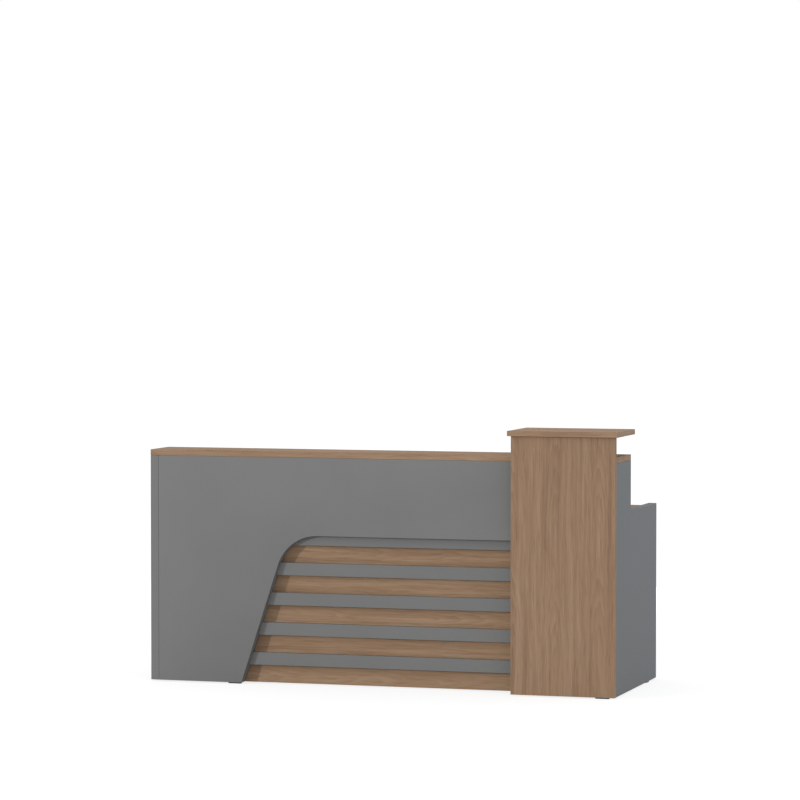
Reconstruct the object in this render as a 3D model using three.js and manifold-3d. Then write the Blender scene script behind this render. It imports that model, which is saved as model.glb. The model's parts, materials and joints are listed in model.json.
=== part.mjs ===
// Reception desk of melamine-faced board: grey carcass, wood-grain tops, feature panel and recess.
// Millimetres, +Z up. Inside the desk group X runs from the left end, Y from the front panel's face
// towards the staff side, Z from the floor. The group sets the origin at the centre of the footprint.
import * as THREE from 'three';
import { mergeVertices } from 'three/addons/utils/BufferGeometryUtils.js';
import Module from 'manifold-3d';

// Whole desk
const DESK_LENGTH = 2060;
const DESK_DEPTH = 700;
const PANEL_FOOT = 5;
const COUNTER_LOW = 970;
const COUNTER_BOARD = 25;
const COUNTER_DEPTH = 217;
const RAISED_TOP_RISE = 83;
const RAISED_TOP_BOARD = 22;
const RAISED_TOP_DEPTH = 313;
const WORKTOP_HIGH = 750;
const WORKTOP_BOARD = 25;
const WORKTOP_SETBACK = 3;
const END_STEP_LIP = 10;
const END_BOARD = 36;
const FIT_GAP = 0.3;

// Front panel, the packer behind it, and the recess that its cut-out shows
const FRONT_BOARD = 25;
const PACKER_BOARD = 25;
const BACK_BOARD = 18;
const CUT_TOP = 638.6;
const CUT_FOOT_X = 410.4;
const CUT_RAKE = THREE.MathUtils.degToRad(18.07);
const CUT_RADIUS = 185;
const STRIP_COUNT = 5;
const STRIP_HEIGHT = 53.5;
const LOWEST_BAND = 76.6;
const HEADER_LAP = 10.9;
const HEADER_TUCK = 30;

// Feature panel standing forward at the right, and the raised top on it
const FEATURE_WIDTH = 444;
const FEATURE_BOARD = 25;
const FEATURE_STANDOFF = 40;
const FEATURE_TUCK = 24;
const RAIL_BOARD = 25;
const RAISED_TOP_NOSE = 14;
const RAISED_TOP_SIDE = 13;
const UPRIGHT_BOARD = 18;
const UPRIGHT_INSET_LEFT = 10;
const UPRIGHT_INSET_RIGHT = 110;
const UPRIGHT_SETBACK = 10;

// Staff side
const CARCASS_BOARD = 18;
const STAFF_SETBACK = 40;
const BAY_WIDTH = 400;
const BASE_LOW = 60;
const DIVIDER_COUNT = 2;
const DIVIDER_SETBACK = 12;
const GROMMET_RADIUS = 30;
const GROMMET_FIT = 0.8;
const GROMMET_WALL = 2.5;
const GROMMET_FLANGE = 6;
const GROMMET_FLANGE_HEIGHT = 2;
const GROMMET_DROP = 18;
const GROMMET_OFFSET = 70;

// Drawers, counted from the bottom: one deep, the rest shallow
const DRAWER_COUNT = 3;
const FRONT_REVEAL = 2.5;
const SHALLOW_FRONT_HEIGHT = 180;
const BODY_DROP = 60;
const BODY_LIFT = 24;
const BODY_WALL = 1.5;
const BODY_BACK_ROOM = 74;
const RUNNER_SPACE = 13;
const RUNNER_WALL = 1.2;
const RUNNER_TIP_ROOM = 2.2;
const RUNNER_PLAY = 1.8;
const RAIL_HEIGHT = 36;
const RUNNER_RISE = 22;

// Bow handles
const HANDLE_SPAN = 128;
const HANDLE_REACH = 28;
const HANDLE_BAR = 8;
const HANDLE_BEND = 14;
const HANDLE_HEIGHT = 10;
const HANDLE_DROP = 50;
const DOOR_HANDLE_INSET = 45;
const DOOR_HANDLE_DROP = 140;

// Butt hinges of the cupboard door
const LEAF_THICKNESS = 1;
const LEAF_WIDTH = 16;
const LEAF_HEIGHT = 60;
const KNUCKLE_COUNT = 3;
const KNUCKLE_RADIUS = 3;
const KNUCKLE_PROUD = 0.5;
const PIN_RADIUS = 1.2;
const PIN_FIT = 0.4;
const HINGE_INSET = 110;
const SHELF_SETBACK = 40;

// Glides under the boards
const GLIDE_LENGTH = 60;
const GLIDE_WIDTH = 16;
const END_GLIDE_WIDTH = 30;
const END_GLIDE_INSET = 140;
const FEATURE_GLIDE_INSET = 55;
const FRONT_GLIDE_INSET = 32;

const ARC_SEGMENTS = 12;
const ROUND_SEGMENTS = 32;
const PIN_SEGMENTS = 16;

// Places that follow from the sizes
const INNER_LEFT = END_BOARD + FIT_GAP;
const INNER_RIGHT = DESK_LENGTH - END_BOARD - FIT_GAP;
const COUNTER_HIGH = COUNTER_LOW + COUNTER_BOARD;
const RAISED_TOP_LOW = COUNTER_HIGH + RAISED_TOP_RISE;
const RAISED_TOP_HIGH = RAISED_TOP_LOW + RAISED_TOP_BOARD;
const END_STEP_HIGH = WORKTOP_HIGH + END_STEP_LIP;
const WORKTOP_LOW = WORKTOP_HIGH - WORKTOP_BOARD;
const PACKER_BACK = FRONT_BOARD + PACKER_BOARD;
const BACK_FACE = PACKER_BACK + BACK_BOARD;
const FEATURE_LEFT = DESK_LENGTH - FEATURE_WIDTH;
const FEATURE_BACK = -FEATURE_STANDOFF;
const FEATURE_FACE = FEATURE_BACK - FEATURE_BOARD;
const RAISED_TOP_FACE = FEATURE_FACE - RAISED_TOP_NOSE;
const CUT_RIGHT = FEATURE_LEFT + FEATURE_TUCK;
const CUT_APEX_X = CUT_FOOT_X + (CUT_TOP - PANEL_FOOT) * Math.tan(CUT_RAKE);
const CUT_ARC_X = CUT_APEX_X + CUT_RADIUS * Math.tan((Math.PI / 2 - CUT_RAKE) / 2);
const CUT_ARC_Z = CUT_TOP - CUT_RADIUS;
const CUT_TANGENT_Z = CUT_ARC_Z + CUT_RADIUS * Math.sin(CUT_RAKE);
const HEADER_HIGH = CUT_TOP + HEADER_LAP;
const HEADER_LOW = HEADER_HIGH - STRIP_HEIGHT;
const HEADER_LEFT = CUT_APEX_X - HEADER_TUCK;
const STRIP_PITCH = (HEADER_LOW - PANEL_FOOT - LOWEST_BAND) / (STRIP_COUNT - 1);
const STAFF_FACE = DESK_DEPTH - STAFF_SETBACK;
const FRONT_BACK = STAFF_FACE - CARCASS_BOARD;
const BODY_BACK = BACK_FACE + BODY_BACK_ROOM;
const BASE_HIGH = BASE_LOW + CARCASS_BOARD;
const DRAWER_BAY_RIGHT = END_BOARD + BAY_WIDTH;
const CUPBOARD_RIGHT = DESK_LENGTH - END_BOARD;
const CUPBOARD_LEFT = CUPBOARD_RIGHT - BAY_WIDTH;
const KNUCKLE_LENGTH = LEAF_HEIGHT / KNUCKLE_COUNT;
const HINGE_GAP = 2 * LEAF_THICKNESS + 3 * FIT_GAP;
const HINGE_X = CUPBOARD_LEFT + HINGE_GAP / 2;
const HINGE_Y = STAFF_FACE + KNUCKLE_PROUD + KNUCKLE_RADIUS;
const RUNNER_FLANGE = RUNNER_SPACE - 2 * FIT_GAP - RUNNER_WALL - RUNNER_TIP_ROOM;
const RUNNER_HEIGHT = RAIL_HEIGHT - 2 * (RUNNER_WALL + RUNNER_PLAY);
const RUNNER_LIFT = BODY_LIFT + RUNNER_RISE;
const FRONT_LOW = BASE_HIGH + FRONT_REVEAL;
const FRONT_HIGH = WORKTOP_LOW - FRONT_REVEAL;

const wasm = await Module();
wasm.setup();

// Finishes; each piece takes a material of its own
const finish = (color, roughness, metalness) => (
  () => new THREE.MeshStandardMaterial({ color, roughness, metalness }));
const greyMelamine = finish('#797a79', 0.5, 0);
const woodMelamine = finish('#937761', 0.45, 0);
const blackPlastic = finish('#26272a', 0.55, 0);
const coatedSteel = finish('#8b8f92', 0.5, 0.2);
const zincSteel = finish('#b4b7b8', 0.35, 0.9);
const brushedSteel = finish('#a9aaa8', 0.3, 1);

function piece(name, geometry, material) {
  const mesh = new THREE.Mesh(geometry, material);
  mesh.name = name;
  return mesh;
}

// A flat board that fills the given ranges.
function board(name, material, [x0, x1], [y0, y1], [z0, z1]) {
  const mesh = piece(name, new THREE.BoxGeometry(x1 - x0, y1 - y0, z1 - z0), material);
  mesh.position.set((x0 + x1) / 2, (y0 + y1) / 2, (z0 + z1) / 2);
  return mesh;
}

function extrude(shape, depth) {
  return new THREE.ExtrudeGeometry(shape, { depth, bevelEnabled: false, curveSegments: ARC_SEGMENTS });
}

// A profile drawn in Y and Z, run along X.
function profileAlongX(shape, x0, x1) {
  const turn = new THREE.Matrix4().makeBasis(
    new THREE.Vector3(0, 1, 0), new THREE.Vector3(0, 0, 1), new THREE.Vector3(1, 0, 0));
  return extrude(shape, x1 - x0).applyMatrix4(turn).translate(x0, 0, 0);
}

// A profile drawn in X and Z, run along Y.
function profileAlongY(shape, y0, y1) {
  return extrude(shape, y1 - y0).rotateX(Math.PI / 2).translate(0, y1, 0);
}

// An outline drawn in X and Y, run along Z.
function outlineAlongZ(shape, z0, z1) {
  return extrude(shape, z1 - z0).translate(0, 0, z0);
}

function polygon(...points) {
  return new THREE.Shape(points.map(([a, b]) => new THREE.Vector2(a, b)));
}

function solidOf(geometry) {
  const bare = geometry.clone();
  bare.deleteAttribute('normal');
  bare.deleteAttribute('uv');
  const merged = mergeVertices(bare);
  return new wasm.Manifold(new wasm.Mesh({
    numProp: 3,
    vertProperties: new Float32Array(merged.attributes.position.array),
    triVerts: new Uint32Array(merged.index.array),
  }));
}

function geometryOf(solid) {
  const { vertProperties, triVerts } = solid.getMesh();
  const geometry = new THREE.BufferGeometry();
  geometry.setAttribute('position', new THREE.BufferAttribute(vertProperties, 3));
  geometry.setIndex(new THREE.BufferAttribute(triVerts, 1));
  geometry.computeVertexNormals();
  return geometry;
}

// End panels: counter height in front, stepped down to just above the worktop behind.
function endPanel(name, x0, frontY) {
  const profile = polygon(
    [frontY, PANEL_FOOT], [DESK_DEPTH, PANEL_FOOT], [DESK_DEPTH, END_STEP_HIGH],
    [COUNTER_DEPTH, END_STEP_HIGH], [COUNTER_DEPTH, COUNTER_LOW - FIT_GAP], [frontY, COUNTER_LOW - FIT_GAP]);
  return piece(name, profileAlongX(profile, x0, x0 + END_BOARD), greyMelamine());
}

// The cut-out's edge from one height up to another: the raked line, then its rounded corner.
function traceCutEdge(path, low, high, offset) {
  const rakeX = (z) => CUT_FOOT_X + (z - PANEL_FOOT) * Math.tan(CUT_RAKE);
  const arcAngle = (z) => Math.PI - Math.asin((z - CUT_ARC_Z) / CUT_RADIUS);
  if (low < CUT_TANGENT_Z) {
    path.lineTo(rakeX(low) + offset, low);
  }
  if (high > CUT_TANGENT_Z) {
    const start = arcAngle(Math.max(low, CUT_TANGENT_Z));
    path.absarc(CUT_ARC_X + offset, CUT_ARC_Z, CUT_RADIUS, start, arcAngle(high), true);
  } else {
    path.lineTo(rakeX(high) + offset, high);
  }
}

// Closes a front board's outline round the right side and the top.
function closeFrontOutline(shape) {
  shape.lineTo(CUT_RIGHT, PANEL_FOOT);
  shape.lineTo(INNER_RIGHT, PANEL_FOOT);
  shape.lineTo(INNER_RIGHT, COUNTER_LOW - FIT_GAP);
  shape.lineTo(INNER_LEFT, COUNTER_LOW - FIT_GAP);
  shape.closePath();
}

function frontPanel() {
  const shape = new THREE.Shape();
  shape.moveTo(INNER_LEFT, PANEL_FOOT);
  traceCutEdge(shape, PANEL_FOOT, CUT_TOP, 0);
  shape.lineTo(CUT_RIGHT, CUT_TOP);
  closeFrontOutline(shape);
  return piece('front_panel', profileAlongY(shape, 0, FRONT_BOARD), greyMelamine());
}

// The packer repeats the cut-out and is notched over it for the header strip.
function frontPacker() {
  const shape = new THREE.Shape();
  shape.moveTo(INNER_LEFT, PANEL_FOOT);
  traceCutEdge(shape, PANEL_FOOT, HEADER_LOW - FIT_GAP, 0);
  shape.lineTo(HEADER_LEFT - FIT_GAP, HEADER_LOW - FIT_GAP);
  shape.lineTo(HEADER_LEFT - FIT_GAP, HEADER_HIGH + FIT_GAP);
  shape.lineTo(CUT_RIGHT, HEADER_HIGH + FIT_GAP);
  closeFrontOutline(shape);
  return piece('front_packer', profileAlongY(shape, FRONT_BOARD + FIT_GAP, PACKER_BACK), greyMelamine());
}

// Strips lie in the packer's layer. The top one is square, the rest are cut to the raked edge.
function recessStrip(index) {
  const high = HEADER_HIGH - index * STRIP_PITCH;
  const low = high - STRIP_HEIGHT;
  const right = CUT_RIGHT - FIT_GAP;
  const shape = new THREE.Shape();
  shape.moveTo(right, high);
  shape.lineTo(right, low);
  if (index === 0) {
    shape.lineTo(HEADER_LEFT, low);
    shape.lineTo(HEADER_LEFT, high);
  } else {
    traceCutEdge(shape, low, high, FIT_GAP);
  }
  shape.closePath();
  const name = `recess_strip_${index + 1}`;
  return piece(name, profileAlongY(shape, FRONT_BOARD + FIT_GAP, PACKER_BACK), greyMelamine());
}

function frontAssembly() {
  const group = new THREE.Group();
  group.add(endPanel('left_end_panel', 0, 0));
  group.add(endPanel('right_end_panel', DESK_LENGTH - END_BOARD, FEATURE_BACK + FIT_GAP));
  group.add(frontPanel());
  group.add(frontPacker());
  group.add(board('recess_back_board', woodMelamine(),
    [INNER_LEFT, INNER_RIGHT], [PACKER_BACK + FIT_GAP, BACK_FACE], [PANEL_FOOT, COUNTER_LOW - FIT_GAP]));
  for (let index = 0; index < STRIP_COUNT; index += 1) {
    group.add(recessStrip(index));
  }
  return group;
}

// The counter board runs the whole length and reaches forward to the feature panel.
function counterTop() {
  const tongue = FEATURE_BACK + FIT_GAP;
  const outline = polygon(
    [0, 0], [FEATURE_LEFT, 0], [FEATURE_LEFT, tongue], [DESK_LENGTH, tongue],
    [DESK_LENGTH, COUNTER_DEPTH], [0, COUNTER_DEPTH]);
  return piece('counter_top', outlineAlongZ(outline, COUNTER_LOW, COUNTER_HIGH), woodMelamine());
}

function topUpright(name, x0) {
  return board(name, greyMelamine(), [x0, x0 + UPRIGHT_BOARD],
    [FEATURE_BACK + FIT_GAP, COUNTER_DEPTH - UPRIGHT_SETBACK],
    [COUNTER_HIGH + FIT_GAP, RAISED_TOP_LOW - FIT_GAP]);
}

function counterAssembly() {
  const group = new THREE.Group();
  group.add(counterTop());
  group.add(board('feature_panel', woodMelamine(), [FEATURE_LEFT, DESK_LENGTH],
    [FEATURE_FACE, FEATURE_BACK], [PANEL_FOOT, RAISED_TOP_LOW - FIT_GAP]));
  group.add(board('feature_rail', greyMelamine(), [CUT_RIGHT, CUT_RIGHT + RAIL_BOARD],
    [FEATURE_BACK + FIT_GAP, -FIT_GAP], [PANEL_FOOT, COUNTER_LOW - FIT_GAP]));
  group.add(board('raised_top', woodMelamine(),
    [FEATURE_LEFT - RAISED_TOP_SIDE, DESK_LENGTH + RAISED_TOP_SIDE],
    [RAISED_TOP_FACE, RAISED_TOP_FACE + RAISED_TOP_DEPTH], [RAISED_TOP_LOW, RAISED_TOP_HIGH]));
  group.add(topUpright('raised_top_upright_left', FEATURE_LEFT + UPRIGHT_INSET_LEFT));
  group.add(topUpright('raised_top_upright_right', DESK_LENGTH - UPRIGHT_INSET_RIGHT - UPRIGHT_BOARD));
  return group;
}

// The worktop lies between the end panels, with a round hole for cables.
function worktop() {
  const front = BACK_FACE + FIT_GAP;
  const rear = DESK_DEPTH - WORKTOP_SETBACK;
  const outline = polygon([INNER_LEFT, front], [INNER_RIGHT, front], [INNER_RIGHT, rear], [INNER_LEFT, rear]);
  const hole = new THREE.Path();
  hole.absarc(DESK_LENGTH / 2, COUNTER_DEPTH + GROMMET_OFFSET, GROMMET_RADIUS, 0, 2 * Math.PI, true);
  outline.holes.push(hole);
  return piece('worktop', outlineAlongZ(outline, WORKTOP_LOW, WORKTOP_HIGH), woodMelamine());
}

// A flanged sleeve, turned from one closed profile.
function cableGrommet() {
  const outer = GROMMET_RADIUS - GROMMET_FIT;
  const inner = outer - GROMMET_WALL;
  const rim = GROMMET_RADIUS + GROMMET_FLANGE;
  const seat = FIT_GAP;
  const profile = [
    [inner, -GROMMET_DROP], [outer, -GROMMET_DROP], [outer, seat], [rim, seat],
    [rim, seat + GROMMET_FLANGE_HEIGHT], [inner, seat + GROMMET_FLANGE_HEIGHT], [inner, -GROMMET_DROP],
  ].map(([radius, height]) => new THREE.Vector2(radius, height));
  const geometry = new THREE.LatheGeometry(profile, ROUND_SEGMENTS).rotateX(Math.PI / 2);
  const mesh = piece('cable_grommet', geometry, blackPlastic());
  mesh.position.set(DESK_LENGTH / 2, COUNTER_DEPTH + GROMMET_OFFSET, WORKTOP_HIGH);
  return mesh;
}

function worktopAssembly() {
  const group = new THREE.Group();
  group.add(worktop());
  group.add(cableGrommet());
  const spacing = (INNER_RIGHT - INNER_LEFT) / (DIVIDER_COUNT + 1);
  for (let index = 1; index <= DIVIDER_COUNT; index += 1) {
    const centre = INNER_LEFT + index * spacing;
    group.add(board(`divider_${index}`, greyMelamine(),
      [centre - CARCASS_BOARD / 2, centre + CARCASS_BOARD / 2],
      [BACK_FACE + FIT_GAP, COUNTER_DEPTH - DIVIDER_SETBACK],
      [WORKTOP_HIGH + FIT_GAP, COUNTER_LOW - FIT_GAP]));
  }
  return group;
}

// A bow handle, drawn along X with its feet on Y = 0, centred on its height.
function bowHandle(name) {
  const outer = (HANDLE_SPAN + HANDLE_BAR) / 2;
  const inner = outer - HANDLE_BAR;
  const bendX = outer - HANDLE_BEND;
  const bendY = HANDLE_REACH - HANDLE_BEND;
  const innerBend = HANDLE_BEND - HANDLE_BAR;
  const shape = new THREE.Shape();
  shape.moveTo(inner, 0);
  shape.lineTo(outer, 0);
  shape.absarc(bendX, bendY, HANDLE_BEND, 0, Math.PI / 2, false);
  shape.absarc(-bendX, bendY, HANDLE_BEND, Math.PI / 2, Math.PI, false);
  shape.lineTo(-outer, 0);
  shape.lineTo(-inner, 0);
  shape.absarc(-bendX, bendY, innerBend, Math.PI, Math.PI / 2, true);
  shape.absarc(bendX, bendY, innerBend, Math.PI / 2, 0, true);
  shape.closePath();
  return piece(name, outlineAlongZ(shape, -HANDLE_HEIGHT / 2, HANDLE_HEIGHT / 2), brushedSteel());
}

// A folded steel tray, open on top.
function drawerBody(name, height) {
  const width = BAY_WIDTH - 2 * RUNNER_SPACE;
  const length = FRONT_BACK - FIT_GAP - BODY_BACK;
  const outer = new THREE.BoxGeometry(width, length, height);
  const inner = new THREE.BoxGeometry(width - 2 * BODY_WALL, length - 2 * BODY_WALL, height);
  const tray = solidOf(outer).subtract(solidOf(inner.translate(0, 0, BODY_WALL)));
  const mesh = piece(name, geometryOf(tray), coatedSteel());
  mesh.position.set(END_BOARD + BAY_WIDTH / 2, BODY_BACK + length / 2, height / 2);
  return mesh;
}

// One member of a runner: a channel along Y whose web stands at webX and whose flanges point along side.
function runnerMember(name, webX, side, height) {
  const half = height / 2;
  const web = webX + side * RUNNER_WALL;
  const tip = webX + side * RUNNER_FLANGE;
  const profile = polygon(
    [webX, -half], [tip, -half], [tip, RUNNER_WALL - half], [web, RUNNER_WALL - half],
    [web, half - RUNNER_WALL], [tip, half - RUNNER_WALL], [tip, half], [webX, half]);
  return piece(name, profileAlongY(profile, BODY_BACK, FRONT_BACK - FIT_GAP), zincSteel());
}

// The fixed rail on the board and the runner on the drawer body, channel inside channel.
function runnerPair(group, drawer, sideName, boardX, side) {
  const bodyX = boardX + side * RUNNER_SPACE;
  const rail = runnerMember(`${drawer}_rail_${sideName}`, boardX + side * FIT_GAP, side, RAIL_HEIGHT);
  const runner = runnerMember(`${drawer}_runner_${sideName}`, bodyX - side * FIT_GAP, -side, RUNNER_HEIGHT);
  rail.position.z = RUNNER_LIFT;
  runner.position.z = RUNNER_LIFT;
  group.add(rail, runner);
}

// One drawer, set out from the foot of its front.
function drawer(index, frontHeight) {
  const name = `drawer_${index}`;
  const group = new THREE.Group();
  group.add(board(`${name}_front`, greyMelamine(),
    [END_BOARD + FRONT_REVEAL, DRAWER_BAY_RIGHT - FRONT_REVEAL], [FRONT_BACK, STAFF_FACE], [0, frontHeight]));
  const body = drawerBody(`${name}_body`, frontHeight - BODY_DROP);
  body.position.z += BODY_LIFT;
  group.add(body);
  const handle = bowHandle(`${name}_handle`);
  handle.position.set(END_BOARD + BAY_WIDTH / 2, STAFF_FACE + FIT_GAP, frontHeight - HANDLE_DROP);
  group.add(handle);
  runnerPair(group, name, 'left', END_BOARD, 1);
  runnerPair(group, name, 'right', DRAWER_BAY_RIGHT, -1);
  return group;
}

function partition(name, x0) {
  return board(name, greyMelamine(), [x0, x0 + CARCASS_BOARD],
    [BACK_FACE + FIT_GAP, STAFF_FACE], [PANEL_FOOT, WORKTOP_LOW - FIT_GAP]);
}

function bayBase(name, x0) {
  return board(name, greyMelamine(), [x0 + FIT_GAP, x0 + BAY_WIDTH - FIT_GAP],
    [BACK_FACE + FIT_GAP, STAFF_FACE], [BASE_LOW, BASE_HIGH]);
}

function drawerBay() {
  const group = new THREE.Group();
  group.add(partition('drawer_partition', DRAWER_BAY_RIGHT));
  group.add(bayBase('drawer_bay_base', END_BOARD));
  const shallowCount = DRAWER_COUNT - 1;
  const deepFront = FRONT_HIGH - FRONT_LOW - shallowCount * (SHALLOW_FRONT_HEIGHT + FRONT_REVEAL);
  let foot = FRONT_LOW;
  for (let index = 1; index <= DRAWER_COUNT; index += 1) {
    const height = index === 1 ? deepFront : SHALLOW_FRONT_HEIGHT;
    const unit = drawer(index, height);
    unit.position.z = foot;
    group.add(unit);
    foot += height + FRONT_REVEAL;
  }
  return group;
}

// A solid block that fills the given ranges, to join or cut.
function block([x0, x1], [y0, y1], [z0, z1]) {
  const geometry = new THREE.BoxGeometry(x1 - x0, y1 - y0, z1 - z0);
  return solidOf(geometry.translate((x0 + x1) / 2, (y0 + y1) / 2, (z0 + z1) / 2));
}

// A solid round on the hinge's axis.
function hingeRound(radius, low, high) {
  const geometry = new THREE.CylinderGeometry(radius, radius, high - low, PIN_SEGMENTS);
  return solidOf(geometry.rotateX(Math.PI / 2).translate(HINGE_X, HINGE_Y, (low + high) / 2));
}

// A leaf with tabs into its own knuckles; the frame's leaf carries the pin, the door's is bored for it.
function hingeLeaf(name, x0, tabs, carriesPin) {
  const across = [x0, x0 + LEAF_THICKNESS];
  const plateEdge = HINGE_Y - KNUCKLE_RADIUS - FIT_GAP;
  let solid = block(across, [STAFF_FACE - LEAF_WIDTH, plateEdge], [0, LEAF_HEIGHT]);
  for (const tab of tabs) {
    const low = tab * KNUCKLE_LENGTH + FIT_GAP;
    const high = (tab + 1) * KNUCKLE_LENGTH - FIT_GAP;
    solid = solid.add(block(across, [plateEdge - LEAF_THICKNESS, HINGE_Y], [low, high]));
    solid = solid.add(hingeRound(KNUCKLE_RADIUS, low, high));
  }
  if (carriesPin) {
    solid = solid.add(hingeRound(PIN_RADIUS, 2 * FIT_GAP, LEAF_HEIGHT - 2 * FIT_GAP));
  } else {
    solid = solid.subtract(hingeRound(PIN_RADIUS + PIN_FIT, 0, LEAF_HEIGHT));
  }
  return piece(name, geometryOf(solid), zincSteel());
}

function hinge(name, foot) {
  const group = new THREE.Group();
  const frameX = CUPBOARD_LEFT + FIT_GAP;
  const doorX = CUPBOARD_LEFT + HINGE_GAP - FIT_GAP - LEAF_THICKNESS;
  const places = [...Array(KNUCKLE_COUNT).keys()];
  group.add(hingeLeaf(`${name}_frame_leaf`, frameX, places.filter((at) => at % 2 === 0), true));
  group.add(hingeLeaf(`${name}_door_leaf`, doorX, places.filter((at) => at % 2 === 1), false));
  group.position.z = foot;
  return group;
}

function cupboardBay() {
  const group = new THREE.Group();
  group.add(partition('cupboard_partition', CUPBOARD_LEFT - CARCASS_BOARD));
  group.add(bayBase('cupboard_base', CUPBOARD_LEFT));
  const shelfLow = (BASE_HIGH + WORKTOP_LOW - CARCASS_BOARD) / 2;
  group.add(board('cupboard_shelf', greyMelamine(), [CUPBOARD_LEFT + FIT_GAP, CUPBOARD_RIGHT - FIT_GAP],
    [BACK_FACE + FIT_GAP, FRONT_BACK - SHELF_SETBACK], [shelfLow, shelfLow + CARCASS_BOARD]));
  group.add(board('cupboard_door', greyMelamine(), [CUPBOARD_LEFT + HINGE_GAP, CUPBOARD_RIGHT - FRONT_REVEAL],
    [FRONT_BACK, STAFF_FACE], [FRONT_LOW, FRONT_HIGH]));
  const handle = bowHandle('cupboard_handle');
  handle.rotation.y = Math.PI / 2;
  handle.position.set(
    CUPBOARD_RIGHT - DOOR_HANDLE_INSET, STAFF_FACE + FIT_GAP, FRONT_HIGH - DOOR_HANDLE_DROP);
  group.add(handle);
  group.add(hinge('hinge_lower', FRONT_LOW + HINGE_INSET));
  group.add(hinge('hinge_upper', FRONT_HIGH - HINGE_INSET - LEAF_HEIGHT));
  return group;
}

// A screw-on glide with round ends, drawn along X.
function glide(name, x, y, width, alongY) {
  const straight = (GLIDE_LENGTH - width) / 2;
  const radius = width / 2;
  const shape = new THREE.Shape();
  shape.absarc(straight, 0, radius, -Math.PI / 2, Math.PI / 2, false);
  shape.absarc(-straight, 0, radius, Math.PI / 2, 1.5 * Math.PI, false);
  shape.closePath();
  const mesh = piece(name, outlineAlongZ(shape, 0, PANEL_FOOT - FIT_GAP), blackPlastic());
  mesh.position.set(x, y, 0);
  mesh.rotation.z = alongY ? Math.PI / 2 : 0;
  return mesh;
}

// Wide glides carry the end panels; the front panel and the partitions stand on narrow ones.
function glides() {
  const group = new THREE.Group();
  const leftX = END_BOARD / 2;
  const rightX = DESK_LENGTH - leftX;
  const featureX = DESK_LENGTH - FEATURE_GLIDE_INSET;
  const featureY = FEATURE_FACE + FEATURE_BOARD / 2;
  const frontY = FRONT_BOARD / 2;
  const rearY = DESK_DEPTH - END_GLIDE_INSET;
  const partitionY = STAFF_FACE - END_GLIDE_INSET;
  group.add(glide('glide_left_front', leftX, END_GLIDE_INSET, END_GLIDE_WIDTH, true));
  group.add(glide('glide_left_rear', leftX, rearY, END_GLIDE_WIDTH, true));
  group.add(glide('glide_right_rear', rightX, rearY, END_GLIDE_WIDTH, true));
  group.add(glide('glide_feature_left', CUT_RIGHT + FEATURE_GLIDE_INSET, frontY, GLIDE_WIDTH, false));
  group.add(glide('glide_feature_right', featureX, featureY, GLIDE_WIDTH, false));
  group.add(glide('glide_front', CUT_FOOT_X - FRONT_GLIDE_INSET, frontY, GLIDE_WIDTH, false));
  const drawerX = DRAWER_BAY_RIGHT + CARCASS_BOARD / 2;
  const cupboardX = CUPBOARD_LEFT - CARCASS_BOARD / 2;
  group.add(glide('glide_drawer_partition', drawerX, partitionY, GLIDE_WIDTH, true));
  group.add(glide('glide_cupboard_partition', cupboardX, partitionY, GLIDE_WIDTH, true));
  return group;
}

const desk = new THREE.Group();
desk.add(frontAssembly());
desk.add(counterAssembly());
desk.add(worktopAssembly());
desk.add(drawerBay());
desk.add(cupboardBay());
desk.add(glides());
desk.position.set(-(DESK_LENGTH + RAISED_TOP_SIDE) / 2, -(RAISED_TOP_FACE + DESK_DEPTH) / 2, 0);

export default desk;
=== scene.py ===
# %% [markdown]
# # A reception desk, dressed for its picture
# The desk is a long box of melamine-faced board: grey panels, a wood-grain counter, and a tall wood-grain
# panel with a raised top for the visitor's papers. The solids come from the CAD model, so nothing here
# changes a size. This lesson gives the solids soft edges, real finishes, fittings and light.

# %% Load the solids and keep their box
import json
import math

import bmesh
import bpy
from mathutils import Matrix, Vector

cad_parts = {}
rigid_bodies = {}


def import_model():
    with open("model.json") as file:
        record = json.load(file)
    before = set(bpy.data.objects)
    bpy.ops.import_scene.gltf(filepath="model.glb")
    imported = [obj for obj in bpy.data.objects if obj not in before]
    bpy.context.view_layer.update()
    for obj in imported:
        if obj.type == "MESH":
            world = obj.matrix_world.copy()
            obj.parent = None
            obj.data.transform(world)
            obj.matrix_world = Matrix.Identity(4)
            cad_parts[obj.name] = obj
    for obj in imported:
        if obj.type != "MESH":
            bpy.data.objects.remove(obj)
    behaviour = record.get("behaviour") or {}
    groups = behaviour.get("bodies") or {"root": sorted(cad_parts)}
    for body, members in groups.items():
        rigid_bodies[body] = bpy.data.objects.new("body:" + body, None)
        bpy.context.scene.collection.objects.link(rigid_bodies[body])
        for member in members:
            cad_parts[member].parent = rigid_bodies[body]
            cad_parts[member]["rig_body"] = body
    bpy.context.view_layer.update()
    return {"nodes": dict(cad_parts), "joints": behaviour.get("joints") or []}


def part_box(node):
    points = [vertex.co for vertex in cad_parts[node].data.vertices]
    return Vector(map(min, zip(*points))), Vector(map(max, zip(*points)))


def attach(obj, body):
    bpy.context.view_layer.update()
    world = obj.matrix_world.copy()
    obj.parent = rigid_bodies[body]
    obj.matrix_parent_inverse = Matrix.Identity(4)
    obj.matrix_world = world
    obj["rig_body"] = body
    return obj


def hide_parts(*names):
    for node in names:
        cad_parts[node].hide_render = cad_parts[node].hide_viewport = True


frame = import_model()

MM = 0.001
scene = bpy.context.scene
nodes = frame["nodes"]

# %% [markdown]
# ## Camera
# The desk is seen from far away through a long lens, a little to the right of its middle and from about
# eye height. A camera can be set by eye, but this one was fitted to the corners of the desk, so it is a
# measured thing: a place, a lens and two angles. No lens shift is needed.

# %% Place the camera
FOCAL_PIXELS = 3561.81
FRAME_PIXELS = 800
SENSOR_WIDTH = 36.0
CAMERA_PLACE = (4.42710, -14.58121, 1.81529)
CAMERA_TILT = math.radians(90 - 2.28815)
CAMERA_TURN = math.radians(16.93713)
SIGHT_LIMIT = 200

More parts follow.
